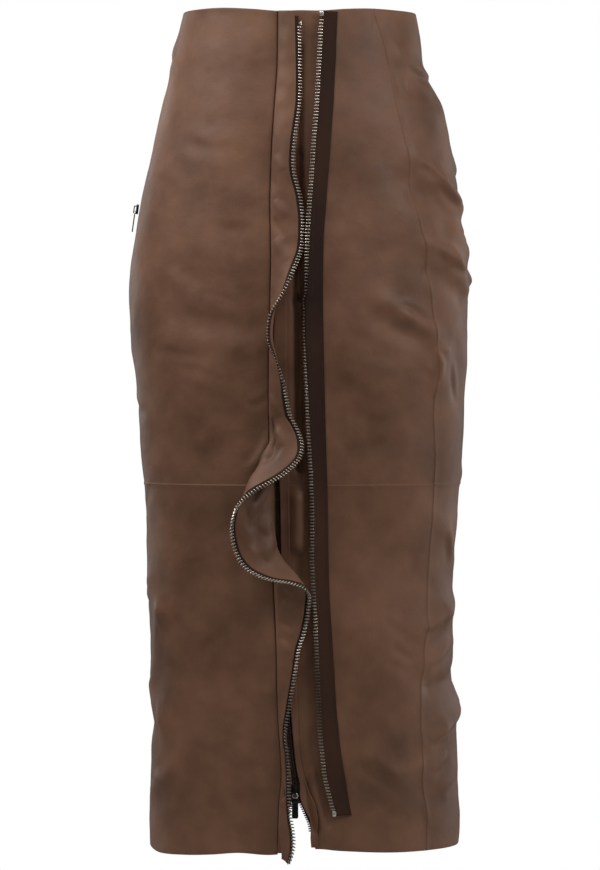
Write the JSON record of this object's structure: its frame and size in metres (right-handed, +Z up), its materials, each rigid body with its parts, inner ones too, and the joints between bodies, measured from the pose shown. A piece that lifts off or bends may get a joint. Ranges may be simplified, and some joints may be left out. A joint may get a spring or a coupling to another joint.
{
  "type": "leather maxi skirt with a ruffled zip front",
  "caption": "High-waisted leather pencil skirt to mid calf, filled out and hollow, with a ruffled band edged in zip teeth, an ornamental zip half and a closing zip down the front.",
  "frame": {"origin": "centre of the waist opening, level with the waist edge at the sides", "axes": "+Z up along the body, +X to the viewer's right seen from the front, front towards -Y"},
  "size_m": [0.3557, 0.2866, 0.8833],
  "materials": {
    "leather": "soft matt nappa with a low sheen",
    "zip_tape": "woven zip tape",
    "zip_teeth": "polished metal teeth",
    "dark_metal": "gunmetal, satin"
  },
  "bodies": {
    "root": {"front_left_upper": "leather", "front_left_lower": "leather", "front_right_upper": "leather", "front_right_lower": "leather", "back_right_upper": "leather", "back_right_lower": "leather", "back_left_upper": "leather", "back_left_lower": "leather", "closing_lip_left": "leather", "closing_guard": "leather", "ruffle_band": "leather", "closing_tape_left": "zip_tape", "closing_tape_right": "zip_tape", "ruffle_tape": "zip_tape", "trim_tape": "zip_tape", "pocket_tape": "zip_tape", "closing_chain": "zip_teeth", "closing_teeth_left": "zip_teeth", "closing_teeth_right": "zip_teeth", "ruffle_chain": "zip_teeth", "trim_chain": "zip_teeth", "trim_stop_top": "zip_teeth", "trim_stop_bottom": "zip_teeth", "pocket_chain": "zip_teeth", "closing_slider": "dark_metal", "pocket_slider": "dark_metal"},
    "closing_pull_tab": {"closing_pull": "dark_metal"},
    "pocket_pull_tab": {"pocket_pull": "dark_metal"}
  },
  "joints": [
    {"name": "closing_pull_swing", "type": "hinge", "parent": "root", "child": "closing_pull_tab", "pos_m": [-0.00454, -0.12078, -0.80823], "axis": [-1, 0, 0], "range_deg": [-4, 120]},
    {"name": "pocket_pull_swing", "type": "hinge", "parent": "root", "child": "pocket_pull_tab", "pos_m": [-0.17257, 0, -0.20634], "axis": [0, 1, 0], "range_deg": [0, 120]}
  ]
}
